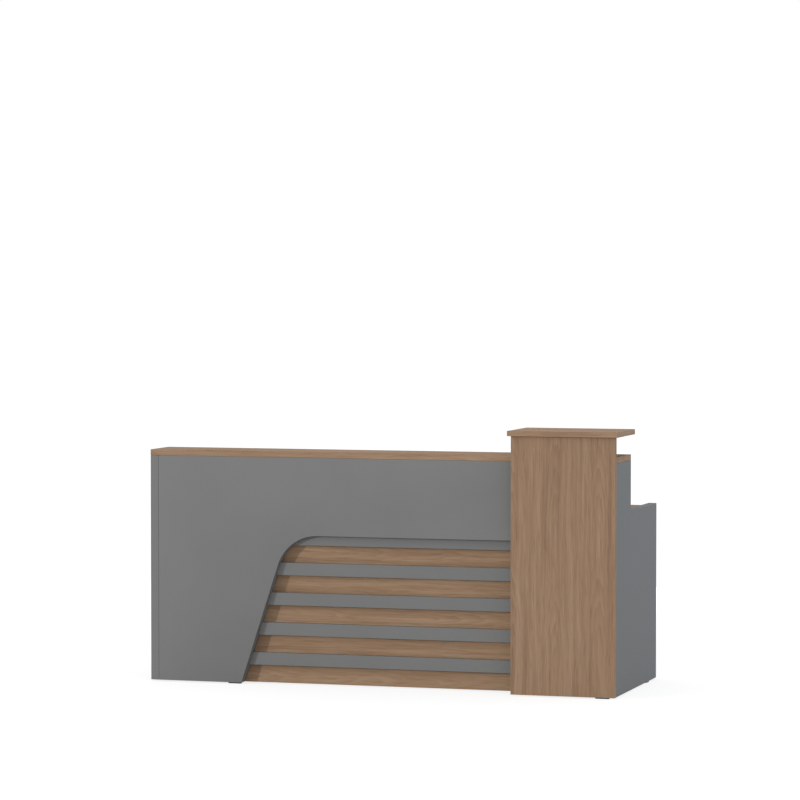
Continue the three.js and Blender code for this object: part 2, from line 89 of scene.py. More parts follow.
camera_data = bpy.data.cameras.new("long_lens")
camera_data.sensor_width = SENSOR_WIDTH
camera_data.lens = SENSOR_WIDTH * FOCAL_PIXELS / FRAME_PIXELS
camera_data.clip_end = SIGHT_LIMIT
camera = bpy.data.objects.new("camera", camera_data)
camera.location = CAMERA_PLACE
camera.rotation_euler = (CAMERA_TILT, 0, CAMERA_TURN)
scene.collection.objects.link(camera)
scene.camera = camera
scene.view_settings.view_transform = "Standard"
print("lens:", round(camera_data.lens, 1), "mm")

# %% [markdown]
# ## Colours and nodes
# Colours are written as they look on a screen, as sRGB hex values, and Blender mixes light in linear
# values, so one function turns the first into the second. Another adds a shader node: it takes the kind of
# node, what goes into its sockets, and its settings, which keeps a long material readable. Two more start
# an empty material and set the stops of a colour ramp.

# %% Helpers for materials
PANEL_GREY = "#797a79"


def linear(hex_colour):
    channels = [int(hex_colour[i:i + 2], 16) / 255 for i in (1, 3, 5)]
    return tuple(c / 12.92 if c <= 0.04045 else ((c + 0.055) / 1.055) ** 2.4 for c in channels) + (1.0,)


def add(tree, kind, sockets=None, **settings):
    made = tree.nodes.new("ShaderNode" + kind)
    for name, value in settings.items():
        setattr(made, name, value)
    for name, value in (sockets or {}).items():
        if isinstance(value, bpy.types.NodeSocket):
            tree.links.new(value, made.inputs[name])
        else:
            made.inputs[name].default_value = value
    return made


def empty_material(name):
    material = bpy.data.materials.new(name)
    material.use_nodes = True
    material.node_tree.nodes.clear()
    return material, material.node_tree


def set_stops(ramp, places, colours):
    stops = ramp.color_ramp.elements
    while len(stops) < len(places):
        stops.new(0.5)
    for stop, place, colour in zip(stops, places, colours):
        stop.position = place
        stop.color = linear(colour)


print("grey of the panels in linear light:", [round(c, 3) for c in linear(PANEL_GREY)])

# %% [markdown]
# ## Studio
# The picture has a white room with no visible corner. A curved backdrop could make one, but a big white
# plane under a white world is simpler and has no edge to hide. To the camera the floor is half its own
# shading and half a white glow, so it stays white and still keeps the desk's soft shadow. The world is
# white to the camera and to mirror-like surfaces, and a softer light for everything else.

# %% Tell which rays see the room itself
WHITE = (1, 1, 1, 1)


def sees_the_room(tree):
    """1 for rays from the camera, off a mirror-like surface or through a clear one, and 0 for the rest."""
    rays = add(tree, "LightPath")
    mirror = add(tree, "Math", {0: rays.outputs["Is Glossy Ray"], 1: rays.outputs["Is Transmission Ray"]},
                 operation="MAXIMUM")
    seen = add(tree, "Math", {0: rays.outputs["Is Camera Ray"], 1: mirror.outputs[0]}, operation="MAXIMUM")
    return seen.outputs[0]


print("rays that see the room: camera, glossy, transmission")

# %% Floor
FLOOR_HALF = 40
PAPER_GREY = "#cccccc"
PAPER_GLOW = 1.55
GLOW_SHARE = 0.5

floor_mesh = bpy.data.meshes.new("studio_floor")
sheet = bmesh.new()
bmesh.ops.create_grid(sheet, x_segments=1, y_segments=1, size=FLOOR_HALF)
sheet.to_mesh(floor_mesh)
sheet.free()
floor = bpy.data.objects.new("studio_floor", floor_mesh)
scene.collection.objects.link(floor)

paper, tree = empty_material("white_studio_paper")
share = add(tree, "Math", {0: sees_the_room(tree), 1: GLOW_SHARE}, operation="MULTIPLY")
shaded = add(tree, "BsdfDiffuse", {"Color": linear(PAPER_GREY)})
glow = add(tree, "Emission", {"Color": WHITE, "Strength": PAPER_GLOW})
mixed = add(tree, "MixShader", {0: share.outputs[0], 1: shaded.outputs[0], 2: glow.outputs[0]})
add(tree, "OutputMaterial", {"Surface": mixed.outputs[0]})
floor_mesh.materials.append(paper)
print("floor:", 2 * FLOOR_HALF, "m square")

# %% World
ROOM_LIGHT = 0.85

world = bpy.data.worlds.new("white_room")
scene.world = world
world.use_nodes = True
tree = world.node_tree
tree.nodes.clear()
soft = add(tree, "Background", {"Color": WHITE, "Strength": ROOM_LIGHT})
white = add(tree, "Background", {"Color": WHITE, "Strength": 1.0})
mixed = add(tree, "MixShader", {0: sees_the_room(tree), 1: soft.outputs[0], 2: white.outputs[0]})
add(tree, "OutputWorld", {"Surface": mixed.outputs[0]})
print("room light:", ROOM_LIGHT, "of white")

# %% [markdown]
# ## Lamps
# The shadow that the front panel throws into the recess is crisp and falls to the right, level with the
# edge that makes it: the main light stands low on the left, about 46 degrees off the front. A sun lamp
# gives that even, parallel light. The white room does most of the work, and weak soft boxes lift the faces
# that it leaves dull: one in front, a bluish one behind on the right, and a low one on the staff side.
# That one stays below the counter, so that it puts no sheen on the tops, and left of the right end, so as
# not to light it.

# %% Hang the lamps
KEY_STRENGTH = 1.12
KEY_SPREAD = math.radians(2.5)
KEY_SIDE = math.radians(46)
KEY_HEIGHT = math.radians(8.5)
KEY_AWAY = 6
# name, place, what it points at, width and height in metres, watts, colour
SOFT_BOXES = (
    ("side_box", (4.5, 5.5, 1.5), (0.6, 0.2, 0.5), (4, 3), 72, "#bfdaff"),
    ("front_box", (1.5, -6.0, 2.2), (0, 0, 0.5), (4, 3), 19, "#ffffff"),
    ("staff_box", (-0.6, 4.5, 0.45), (-0.4, 0.3, 0.45), (3, 0.9), 60, "#ffffff"),
)


def hang(data, place, target):
    lamp = bpy.data.objects.new(data.name, data)
    lamp.location = place
    lamp.rotation_euler = (Vector(target) - Vector(place)).to_track_quat("-Z", "Y").to_euler()
    scene.collection.objects.link(lamp)


key = bpy.data.lights.new("key_light", "SUN")
key.energy = KEY_STRENGTH
key.angle = KEY_SPREAD
key_way = Vector((-math.sin(KEY_SIDE), -math.cos(KEY_SIDE), math.tan(KEY_HEIGHT)))
hang(key, KEY_AWAY * key_way, (0, 0, 0))
for name, place, target, (width, height), watts, colour in SOFT_BOXES:
    box = bpy.data.lights.new(name, "AREA")
    box.shape = "RECTANGLE"
    box.size = width
    box.size_y = height
    box.energy = watts
    box.color = linear(colour)[:3]
    hang(box, place, target)

# %% [markdown]
# ## Wood-grain melamine
# The brown boards are chipboard with a printed paper face: a plain-sawn walnut figure under a thin,
# slightly textured resin. The eye sees three things: broad soft bands a few centimetres wide, fine lines
# along the grain, and here and there a cathedral, the nested arches where the saw met a growth ring at a
# flat angle. A scan of such a paper would repeat and blur up close, so the figure is made from noise that
# is stretched along the grain, and it follows the board's own sizes.

# %% Find a point's place in the grain
WANDER = 12 * MM
WANDER_LENGTH = 350 * MM
WANDER_WIDTH = 120 * MM
# a face counts as a board's end when its normal leans this far along the grain
END_FACING = 0.7


def cells(length, width):
    """Noise cells in a metre along, across and into the board, for a cell of that length and width."""
    return (1 / length, 1 / width, 1 / width)


def place_in_grain(tree, directions, shift):
    """The place along, across and into the board: first on a straight grain, then on one that wanders."""
    along, across, deep = directions
    place = add(tree, "TexCoord")
    axes = add(tree, "SeparateXYZ", {0: place.outputs["Object"]})
    facing = add(tree, "SeparateXYZ", {0: place.outputs["Normal"]})
    # the strip on a board's end runs along that end, so there the two directions change places
    end_on = add(tree, "Math", {0: facing.outputs[along]}, operation="ABSOLUTE")
    is_end = add(tree, "Math", {0: end_on.outputs[0], 1: END_FACING}, operation="GREATER_THAN")
    run = add(tree, "Mix", {0: is_end.outputs[0], 2: axes.outputs[along], 3: axes.outputs[across]})
    side = add(tree, "Mix", {0: is_end.outputs[0], 2: axes.outputs[across], 3: axes.outputs[along]})
    flat = add(tree, "CombineXYZ", {0: run.outputs[0], 1: side.outputs[0], 2: axes.outputs[deep]})
    straight = add(tree, "VectorMath", {0: flat.outputs[0], 1: shift}, operation="ADD")
    # the grain wanders: a slow sideways drift of a few millimetres
    slow = add(tree, "Mapping", {"Vector": straight.outputs[0],
                                 "Scale": cells(WANDER_LENGTH, WANDER_WIDTH)})
    drift = add(tree, "TexNoise", {"Vector": slow.outputs[0], "Scale": 1.0, "Detail": 2.0})
    aside = add(tree, "MapRange", {"Value": drift.outputs[0], "To Min": -WANDER, "To Max": WANDER})
    push = add(tree, "CombineXYZ", {1: aside.outputs[0]})
    bent = add(tree, "VectorMath", {0: straight.outputs[0], 1: push.outputs[0]}, operation="ADD")
    return straight.outputs[0], bent.outputs[0]


print("the grain wanders by up to", WANDER / MM, "mm")

# %% [markdown]
# ## The arches
# An arch is a growth ring, round a heart line that comes to the face at a flat angle. The distance from
# that line is counted in ring widths, and the fraction that is left over darkens slowly and ends sharply,
# as late wood does. Every arch of a group points the same way. Wave nodes would be quicker, but their
# rings all have one sharpness and don't fade with the distance from the heart.

# %% Draw growth rings round a heart line
RING_WIDTH = 11 * MM
# how steeply the heart line leaves the face, and how far a ring wavers, in ring widths
RING_CLIMB = 0.11
RING_WAVER = 0.55
# tones from 0, dark, to 1, pale
EARLY_WOOD = 0.66
LATE_WOOD = 0.3
# distances from the heart line
ARCH_FULL = 12 * MM
ARCH_GONE = 60 * MM
ARCH_STRENGTH = 0.68
PATCH_LENGTH = 320 * MM
PATCH_WIDTH = 200 * MM


def arches(tree, straight, bent, line, heart, spacing, reach):
    """The rings' tone and how strongly they show; spacing lies across the grain and reach along it."""
    axes = add(tree, "SeparateXYZ", {0: bent})
    off_heart = add(tree, "Math", {0: axes.outputs[1], 1: heart}, operation="SUBTRACT")
    aside = add(tree, "Math", {0: off_heart.outputs[0], 1: -spacing / 2, 2: spacing / 2}, operation="WRAP")
    groups = add(tree, "Math", {0: axes.outputs[0], 1: reach}, operation="DIVIDE")
    climb = add(tree, "Math", {0: groups.outputs[0]}, operation="FRACT")
    depth = add(tree, "Math", {0: climb.outputs[0], 1: RING_CLIMB * reach}, operation="MULTIPLY")
    spot = add(tree, "CombineXYZ", {0: aside.outputs[0], 1: depth.outputs[0]})
    radius = add(tree, "VectorMath", {0: spot.outputs[0]}, operation="LENGTH")
    count = add(tree, "Math", {0: radius.outputs["Value"], 1: RING_WIDTH}, operation="DIVIDE")
    waver = add(tree, "MapRange", {"Value": line, "To Min": -RING_WAVER, "To Max": RING_WAVER})
    phase = add(tree, "Math", {0: count.outputs[0], 1: waver.outputs[0]}, operation="ADD")
    part = add(tree, "Math", {0: phase.outputs[0]}, operation="FRACT")
    tone = add(tree, "MapRange", {"Value": part.outputs[0], "From Min": 0.15, "From Max": 0.95,
                                  "To Min": EARLY_WOOD, "To Max": LATE_WOOD})
    # they show near a heart line, in patches, and fade where the printed figure starts again
    off = add(tree, "Math", {0: aside.outputs[0]}, operation="ABSOLUTE")
    near = add(tree, "MapRange", {"Value": off.outputs[0], "From Min": ARCH_GONE, "From Max": ARCH_FULL,
                                  "To Min": 0.0, "To Max": ARCH_STRENGTH}, interpolation_type="SMOOTHSTEP")
    patch_map = add(tree, "Mapping", {"Vector": straight, "Scale": cells(PATCH_LENGTH, PATCH_WIDTH)})
    patch = add(tree, "TexNoise", {"Vector": patch_map.outputs[0], "Scale": 1.0, "Detail": 0.0})
    patchy = add(tree, "MapRange", {"Value": patch.outputs[0], "From Min": 0.36, "From Max": 0.5})
    to_end = add(tree, "Math", {0: climb.outputs[0], 1: 0.5}, operation="PINGPONG")
    inside = add(tree, "MapRange", {"Value": to_end.outputs[0], "From Min": 0.05, "From Max": 0.25},
                 interpolation_type="SMOOTHSTEP")
    group = add(tree, "Math", {0: near.outputs[0], 1: inside.outputs[0]}, operation="MULTIPLY")
    shown = add(tree, "Math", {0: group.outputs[0], 1: patchy.outputs[0]}, operation="MULTIPLY")
    return tone.outputs[0], shown.outputs[0]


print("growth rings:", RING_WIDTH / MM, "mm wide")

# %% [markdown]
# ## The finish of a wood-grain board
# Bands, lines and arches are mixed into one tone from dark to pale, and a ramp of three browns colours it.
# Short pores are laid over it in a dark brown. The lines also vary the resin's gloss, and lines and pores
# together sink fine grooves into it. At the picture's scale a pixel is four millimetres, so lines and
# pores are drawn two to five millimetres wide, coarser than the real ones, which would not show.

# %% Mix the grain
BAND_LENGTH = 900 * MM
BAND_WIDTH = 26 * MM
LINE_LENGTH = 320 * MM
LINE_WIDTH = 10 * MM
PORE_LENGTH = 60 * MM
PORE_WIDTH = 4.2 * MM
BAND_SHARE = 0.46
PORE_SHARE = 0.17
PORE_BROWN = "#5a4334"
GROOVE_DEPTH = 0.2 * MM
RESIN_IOR = 1.5
MATT_SHEEN = 0.1


def wood_grain(name, directions, heart, spacing, reach, shift, tones):
    material, tree = empty_material(name)
    straight, bent = place_in_grain(tree, directions, shift)
    band_map = add(tree, "Mapping", {"Vector": bent, "Scale": cells(BAND_LENGTH, BAND_WIDTH)})
    band = add(tree, "TexNoise", {"Vector": band_map.outputs[0], "Scale": 1.0, "Detail": 1.0})
    line_map = add(tree, "Mapping", {"Vector": bent, "Scale": cells(LINE_LENGTH, LINE_WIDTH)})
    line = add(tree, "TexNoise", {"Vector": line_map.outputs[0], "Scale": 1.0, "Detail": 2.0,
                                  "Roughness": 0.65})
    pore_map = add(tree, "Mapping", {"Vector": bent, "Scale": cells(PORE_LENGTH, PORE_WIDTH)})
    pore = add(tree, "TexNoise", {"Vector": pore_map.outputs[0], "Scale": 1.0, "Detail": 0.0})
    pore_dark = add(tree, "MapRange", {"Value": pore.outputs[0], "From Min": 0.52, "From Max": 0.75})
    rings, arch = arches(tree, straight, bent, line.outputs[0], heart, spacing, reach)

    # each of the three has a mean tone of about 0.5
    lines = add(tree, "Mix", {0: arch, 2: line.outputs[0], 3: rings})
    tone = add(tree, "Mix", {0: BAND_SHARE, 2: lines.outputs[0], 3: band.outputs[0]})
    ramp = add(tree, "ValToRGB", {0: tone.outputs[0]})
    set_stops(ramp, (0.22, 0.5, 0.78), tones)
    pore_fade = add(tree, "Math", {0: pore_dark.outputs[0], 1: PORE_SHARE}, operation="MULTIPLY")
    colour = add(tree, "Mix", {0: pore_fade.outputs[0], 6: ramp.outputs[0], 7: linear(PORE_BROWN)},
                 data_type="RGBA")
    rough = add(tree, "MapRange", {"Value": lines.outputs[0], "To Min": 0.8, "To Max": 0.66})
    groove = add(tree, "Math", {0: lines.outputs[0], 1: pore_dark.outputs[0]}, operation="SUBTRACT")
    bump = add(tree, "Bump", {"Height": groove.outputs[0], "Strength": 0.25, "Distance": GROOVE_DEPTH})
    board = add(tree, "BsdfPrincipled", {"Base Color": colour.outputs[2], "Roughness": rough.outputs[0],
                                         "IOR": RESIN_IOR, "Specular IOR Level": MATT_SHEEN,
                                         "Normal": bump.outputs[0]})
    add(tree, "OutputMaterial", {"Surface": board.outputs[0]})
    return material


print("grain lines:", LINE_WIDTH / MM, "mm cells, pores:", PORE_WIDTH / MM, "mm")

# %% Print a paper for each board
# dark, middle and pale brown; boards from different sheets differ by a shade, and so do the ABS edge strips
WALNUT = ("#7f6553", "#957961", "#a78c76")
EDGE_WALNUT = ("#82684f", "#9a7e66", "#ac917a")
RECESS_WALNUT = ("#806550", "#987c63", "#ac9178")
RAISED_WALNUT = ("#866b52", "#9e8169", "#b0947d")
# the directions are the axes along, across and into the board; the figure's sizes are in metres
feature_walnut = wood_grain("walnut_melamine_feature", "ZXY", heart=0.955, spacing=0.185, reach=0.547,
                            shift=(-0.0965, 0, 0), tones=WALNUT)
recess_walnut = wood_grain("walnut_melamine_recess", "XZY", heart=0.57, spacing=0.27, reach=0.45,
                           shift=(0.31, 0, 0.2), tones=RECESS_WALNUT)
counter_walnut = wood_grain("walnut_melamine_counter", "XYZ", heart=0.03, spacing=0.5, reach=0.7,
                            shift=(0.1, 0, 0.4), tones=EDGE_WALNUT)
raised_walnut = wood_grain("walnut_melamine_raised_top", "XYZ", heart=0.1, spacing=0.4, reach=0.6,
                           shift=(0.7, 0.3, 0.1), tones=RAISED_WALNUT)
work_walnut = wood_grain("walnut_melamine_worktop", "XYZ", heart=0.12, spacing=0.35, reach=0.7,
                         shift=(0.4, 0.1, 0.7), tones=WALNUT)
walnut_arris = wood_grain("walnut_abs_edge", "XYZ", heart=0.1, spacing=0.4, reach=0.9,
                          shift=(0, 0.2, 0), tones=EDGE_WALNUT)
print("wood-grain finishes:", [m.name for m in bpy.data.materials if m.name.startswith("walnut")])

# %% [markdown]
# ## Grey melamine
# The grey boards have the same resin face, pressed against a plate with a fine pearl grain, so they look
# flat and even. A plain grey shader would look like plastic film. What sets the board apart is small: the
# tone drifts by a percent or two, the gloss has a cloudy variation, and the pearl breaks up reflections.
# The pearl is really about half a millimetre; it is drawn at two millimetres to show at all.

# %% The grey finish, its strips and its edge
CLOUD_SIZE = 300 * MM
PEARL_SIZE = 2 * MM
PEARL_DEPTH = 0.1 * MM


def grey_board(name, dark, middle, pale):
    material, tree = empty_material(name)
    place = add(tree, "TexCoord")
    cloud = add(tree, "TexNoise", {"Vector": place.outputs["Object"], "Scale": 1 / CLOUD_SIZE,
                                   "Detail": 3.0})
    pearl = add(tree, "TexNoise", {"Vector": place.outputs["Object"], "Scale": 1 / PEARL_SIZE,
                                   "Detail": 1.0})
    ramp = add(tree, "ValToRGB", {0: cloud.outputs[0]})
    set_stops(ramp, (0.25, 0.5, 0.75), (dark, middle, pale))
    rough = add(tree, "MapRange", {"Value": cloud.outputs[0], "To Min": 0.68, "To Max": 0.8})
    bump = add(tree, "Bump", {"Height": pearl.outputs[0], "Strength": 0.12, "Distance": PEARL_DEPTH})
    face = add(tree, "BsdfPrincipled", {"Base Color": ramp.outputs[0], "Roughness": rough.outputs[0],
                                        "IOR": RESIN_IOR, "Specular IOR Level": MATT_SHEEN,
                                        "Normal": bump.outputs[0]})
    add(tree, "OutputMaterial", {"Surface": face.outputs[0]})
    return material


# an even grey for the panels, a darker grey for the strips that is painted shade of the recess they sit in,
# and ABS edging that is a shade lighter
grey_melamine = grey_board("grey_melamine", "#777877", PANEL_GREY, "#7b7c7b")
grey_strip_painted_shade = grey_board("grey_melamine_strip_painted_shade", "#747574", "#767776", "#787978")
grey_arris = grey_board("grey_abs_edge", "#797a79", "#7c7d7c", "#7f807f")
print("grey finishes:", grey_melamine.name, grey_strip_painted_shade.name, grey_arris.name)

# %% [markdown]
# ## Edges of the boards
# A sawn board gets a plastic strip on its edge, and the strip's corners are milled round: two millimetres
# on the thick end panels, about one on the rest. The round catches a line of light or shade, which is what
# makes two boards read as two. The flat solids can keep their mesh. A weld joins their loose triangles,
# and a bevel rounds each sharp edge and gives it the strip's finish.

# %% Soften the edges of one board
SHARP = math.radians(40)
WELD_REACH = 0.01 * MM


def finish_board(node_name, face, arris, radius):
    board = nodes[node_name]
    board.data.materials.clear()
    board.data.materials.append(face)
    board.data.materials.append(arris)
    weld = board.modifiers.new("join_faces", "WELD")
    weld.merge_threshold = WELD_REACH
    bevel = board.modifiers.new("edge_radius", "BEVEL")
    bevel.width = radius
    bevel.segments = 2
    bevel.limit_method = "ANGLE"
    bevel.angle_limit = SHARP
    bevel.harden_normals = True
    bevel.material = 1


print("edges sharper than", round(math.degrees(SHARP)), "degrees are rounded")

# %% Finish the wood-grain and grey boards
WOOD_RADIUS = 1.0 * MM
END_RADIUS = 2.0 * MM
GREY_RADIUS = 0.8 * MM
DRAWERS = (1, 2, 3)
wood_boards = {"feature_panel": feature_walnut, "recess_back_board": recess_walnut,
               "counter_top": counter_walnut, "raised_top": raised_walnut, "worktop": work_walnut}
end_panels = ["left_end_panel", "right_end_panel"]
strips = [name for name in nodes if name.startswith("recess_strip_")]
grey_boards = ["drawer_partition", "drawer_bay_base", "cupboard_partition", "cupboard_base",
               "cupboard_shelf", "cupboard_door", "divider_1", "divider_2", "feature_rail",
               "raised_top_upright_left", "raised_top_upright_right"]
grey_boards += [f"drawer_{index}_front" for index in DRAWERS]

for name, walnut in wood_boards.items():
    finish_board(name, walnut, walnut_arris, WOOD_RADIUS)
for name in end_panels:
    finish_board(name, grey_melamine, grey_arris, END_RADIUS)
# the strips take the darker grey, which is painted recess shade
for name in strips:
    finish_board(name, grey_strip_painted_shade, grey_arris, GREY_RADIUS)
for name in grey_boards:
    finish_board(name, grey_melamine, grey_arris, GREY_RADIUS)
print("boards with soft edges:", len(wood_boards) + len(end_panels) + len(strips) + len(grey_boards))

# %% [markdown]
# ## Plastic and metal
# Under the boards sit moulded polypropylene glides, with the fine sparkle that a spark-eroded mould
# leaves. The drawer trays are folded steel sheet in epoxy powder, which levels to a faint orange peel.
# Runners and hinges are zinc plated, so their tone is patchy, and the handles are brushed along their
# length. Each could have a tree of its own, but all start from a plain shader and get one telling texture,
# so one function does. The sparkle and the brush lines are really about a tenth of a millimetre; they are
# drawn about a millimetre wide to show at all.

# %% Plastic, powder coat, zinc and brushed steel
def textured(name, colours, grain, rough, metal, depth):
    """grain is the texture's size along X, Y and Z; colours and rough go from its low places to its high."""
    material, tree = empty_material(name)
    place = add(tree, "TexCoord")
    sized = add(tree, "Mapping", {"Vector": place.outputs["Object"], "Scale": [1 / size for size in grain]})
    noise = add(tree, "TexNoise", {"Vector": sized.outputs[0], "Scale": 1.0, "Detail": 2.0})
    ramp = add(tree, "ValToRGB", {0: noise.outputs[0]})
    set_stops(ramp, (0.3, 0.7), colours)
    gloss = add(tree, "MapRange", {"Value": noise.outputs[0], "From Min": 0.3, "From Max": 0.7,
                                   "To Min": rough[0], "To Max": rough[1]})
    bump = add(tree, "Bump", {"Height": noise.outputs[0], "Strength": 0.4, "Distance": depth})
    shader = add(tree, "BsdfPrincipled", {"Base Color": ramp.outputs[0], "Roughness": gloss.outputs[0],
                                          "Metallic": metal, "Normal": bump.outputs[0]})
    add(tree, "OutputMaterial", {"Surface": shader.outputs[0]})
    return material


BRUSH_LINE = 0.8 * MM
BRUSH_STROKE = 60 * MM
BRUSHED = ("#9d9e9c", "#b3b4b2")
# matt black with a fine sparkle, and a darker, duller one in the bottom of a hole, painted shade for the
# hole's depth
black_plastic = textured("moulded_polypropylene", ("#222326", "#2c2d30"), grain=[1.2 * MM] * 3,
                         rough=(0.5, 0.62), metal=0, depth=0.08 * MM)
bore_painted_shade = textured("polypropylene_bore_painted_shade", ("#18191b", "#202124"), grain=[1 * MM] * 3,
                        rough=(0.7, 0.8), metal=0, depth=0.05 * MM)
# smooth grey with a faint orange peel
tray_coat = textured("epoxy_powder_coat", ("#898d90", "#8f9396"), grain=[2.5 * MM] * 3,
                     rough=(0.4, 0.5), metal=0, depth=0.06 * MM)
# bright and patchy; a screw's sunk socket is painted dull and nearly black, as painted shade for its depth
zinc_plate = textured("zinc_plated_steel", ("#a7abad", "#bcc0c1"), grain=[7 * MM] * 3,
                      rough=(0.3, 0.44), metal=1, depth=0.02 * MM)
socket_painted_shade = textured("screw_socket_painted_shade", ("#18191b", "#202124"), grain=[1 * MM] * 3,
                        rough=(0.7, 0.8), metal=0, depth=0.05 * MM)
# long fine scratches along the pull, which stretch its highlights
drawer_pull_steel = textured("brushed_steel_drawer_pull", BRUSHED,
                             grain=[BRUSH_STROKE, BRUSH_LINE, BRUSH_LINE],
                             rough=(0.26, 0.4), metal=1, depth=0.02 * MM)
door_pull_steel = textured("brushed_steel_door_pull", BRUSHED,
                           grain=[BRUSH_LINE, BRUSH_LINE, BRUSH_STROKE],
                           rough=(0.26, 0.4), metal=1, depth=0.02 * MM)
print("small finishes:", black_plastic.name, tray_coat.name, zinc_plate.name, drawer_pull_steel.name)

# %% [markdown]
# ## Curved solids
# The solids come as loose flat triangles. On a curve, flat triangles show as facets, and a bevel modifier
# can't shade them as one. So for the curved pieces a copy is made: its points are joined, flat faces are
# rejoined, the hard edges get a small radius, and faces that meet at a shallow angle are shaded as one.
# The copy then stands in for the solid.

# %% Make a smooth copy of a curved solid
JOIN_REACH = 0.005 * MM
FLAT = math.radians(1)
SHALLOW = math.radians(25)


def place_piece(name, shape, materials, body):
    mesh = bpy.data.meshes.new(name)
    shape.to_mesh(mesh)
    shape.free()
    for material in materials:
        mesh.materials.append(material)
    piece = bpy.data.objects.new(name, mesh)
    scene.collection.objects.link(piece)
    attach(piece, body)
    return piece


def smooth_copy(node_name, name, materials, radius, segments):
    """The last material goes on the rounded edges."""
    source = nodes[node_name]
    shape = bmesh.new()
    shape.from_mesh(source.data)
    bmesh.ops.remove_doubles(shape, verts=shape.verts, dist=JOIN_REACH)
    bmesh.ops.dissolve_limit(shape, angle_limit=FLAT, verts=shape.verts, edges=shape.edges)
    for face in shape.faces:
        face.material_index = 0
    hard = [e for e in shape.edges if len(e.link_faces) == 2 and e.calc_face_angle(0) > SHARP]
    rounded = bmesh.ops.bevel(shape, geom=hard, offset=radius, offset_type="OFFSET", segments=segments,
                              profile=0.5, affect="EDGES", clamp_overlap=True, material=-1)
    for face in rounded["faces"]:
        face.material_index = len(materials) - 1
    for face in shape.faces:
        face.smooth = True
    for edge in shape.edges:
        edge.smooth = len(edge.link_faces) == 2 and edge.calc_face_angle(math.pi) < SHALLOW
    piece = place_piece(name, shape, materials, source["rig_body"])
    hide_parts(node_name)
    source.data.materials.clear()
    source.data.materials.append(materials[0])


print("facets under", round(math.degrees(SHALLOW)), "degrees are shaded as one")

# %% Copy the pulls, glides, hinges and the two boards with the cut-out
PULL_RADIUS = 1.6 * MM
MOULD_RADIUS = 0.8 * MM
LEAF_RADIUS = 0.12 * MM
CUT_RADIUS = 1.6 * MM
for index in DRAWERS:
    pull = f"drawer_{index}_bow_pull"
    smooth_copy(f"drawer_{index}_handle", pull, [drawer_pull_steel], PULL_RADIUS, 3)
smooth_copy("cupboard_handle", "cupboard_bow_pull", [door_pull_steel], PULL_RADIUS, 3)
smooth_copy("cable_grommet", "cable_grommet_ring", [black_plastic], MOULD_RADIUS, 3)
for name in [n for n in nodes if n.startswith("glide_")]:
    smooth_copy(name, name + "_pad", [black_plastic], MOULD_RADIUS, 2)
for name in [n for n in nodes if n.endswith("_leaf")]:
    smooth_copy(name, name + "_knuckled", [zinc_plate], LEAF_RADIUS, 2)
for name in ("front_panel", "front_packer"):
    smooth_copy(name, name + "_board", [grey_melamine, grey_arris], CUT_RADIUS, 3)

# %% [markdown]
# ## Trays and runners
# The drawer trays and their runners are folded from sheet steel. Their solids are right as they are, with
# crisp bends, so they are not copied. They take their finish as the boards do, with a bend radius of a
# fraction of a millimetre so that the folds catch light.

# %% Finish the trays and the runners
TRAY_BEND = 0.5 * MM
RUNNER_BEND = 0.3 * MM
trays = [name for name in nodes if name.endswith("_body")]
slides = [name for name in nodes if "_rail_" in name or "_runner_" in name]
for name in trays:
    finish_board(name, tray_coat, tray_coat, TRAY_BEND)
for name in slides:
    finish_board(name, zinc_plate, zinc_plate, RUNNER_BEND)
print("sheet metal pieces:", len(trays) + len(slides))

# %% [markdown]
# ## Folded rims on the trays
# A steel tray with raw upper edges would cut fingers, so the sheet is folded inwards along the top. The
# fold is a flat ring. A grid face could be inset and extruded, but extrude makes its side faces in another
# order on each run. So a thin box the size of the tray is inset above and below by the width of the fold,
# the two middles are deleted, and a bridge joins their outlines. Then the ring's edges get a small radius.

# %% Fold a rim on each tray
RIM_WIDTH = 9 * MM
RIM_SHEET = 1.5 * MM
RIM_RADIUS = 0.5 * MM
RIM_GAP = 0.02 * MM
for index in DRAWERS:
    low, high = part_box(f"drawer_{index}_body")
    middle = ((low.x + high.x) / 2, (low.y + high.y) / 2, high.z + RIM_GAP + RIM_SHEET / 2)
    rim = bmesh.new()
    bmesh.ops.create_cube(rim, size=1)
    bmesh.ops.scale(rim, vec=(high.x - low.x, high.y - low.y, RIM_SHEET), verts=rim.verts)
    bmesh.ops.translate(rim, vec=middle, verts=rim.verts)
    rim.normal_update()
    flats = [f for f in rim.faces if abs(f.normal.z) > 0.5]
    bmesh.ops.inset_individual(rim, faces=flats, thickness=RIM_WIDTH, use_even_offset=True)
    outlines = [e for f in flats for e in f.edges]
    bmesh.ops.delete(rim, geom=flats, context="FACES_ONLY")
    bmesh.ops.bridge_loops(rim, edges=outlines)
    bmesh.ops.recalc_face_normals(rim, faces=rim.faces)
    corners = [e for e in rim.edges if e.calc_face_angle(0) > SHARP]
    bmesh.ops.bevel(rim, geom=corners, offset=RIM_RADIUS, offset_type="OFFSET", segments=2, profile=0.5,
                    affect="EDGES", material=-1)
    place_piece(f"drawer_{index}_tray_rim", rim, [tray_coat], f"drawer_{index}")
print("tray rims:", len(DRAWERS), "fold", RIM_WIDTH / MM, "mm wide")

# %% [markdown]
# ## Screws
# Runners and hinges are held by small screws. A head could be a plain disc, but from close by the socket
# is what makes it a screw. So a head is a short cone with a flat top, and the top face is inset and pushed
# in. Shelf pins and the plastic sleeves that line the shelf holes have the same shape in other sizes, so
# one function serves all.

# %% A head with a sunk middle
HEAD_SEGMENTS = 16
HEAD_TAPER = 0.86
SCREW = {"radius": 3.2 * MM, "height": 1.3 * MM, "sink": 0.7 * MM, "rim_share": 0.45}


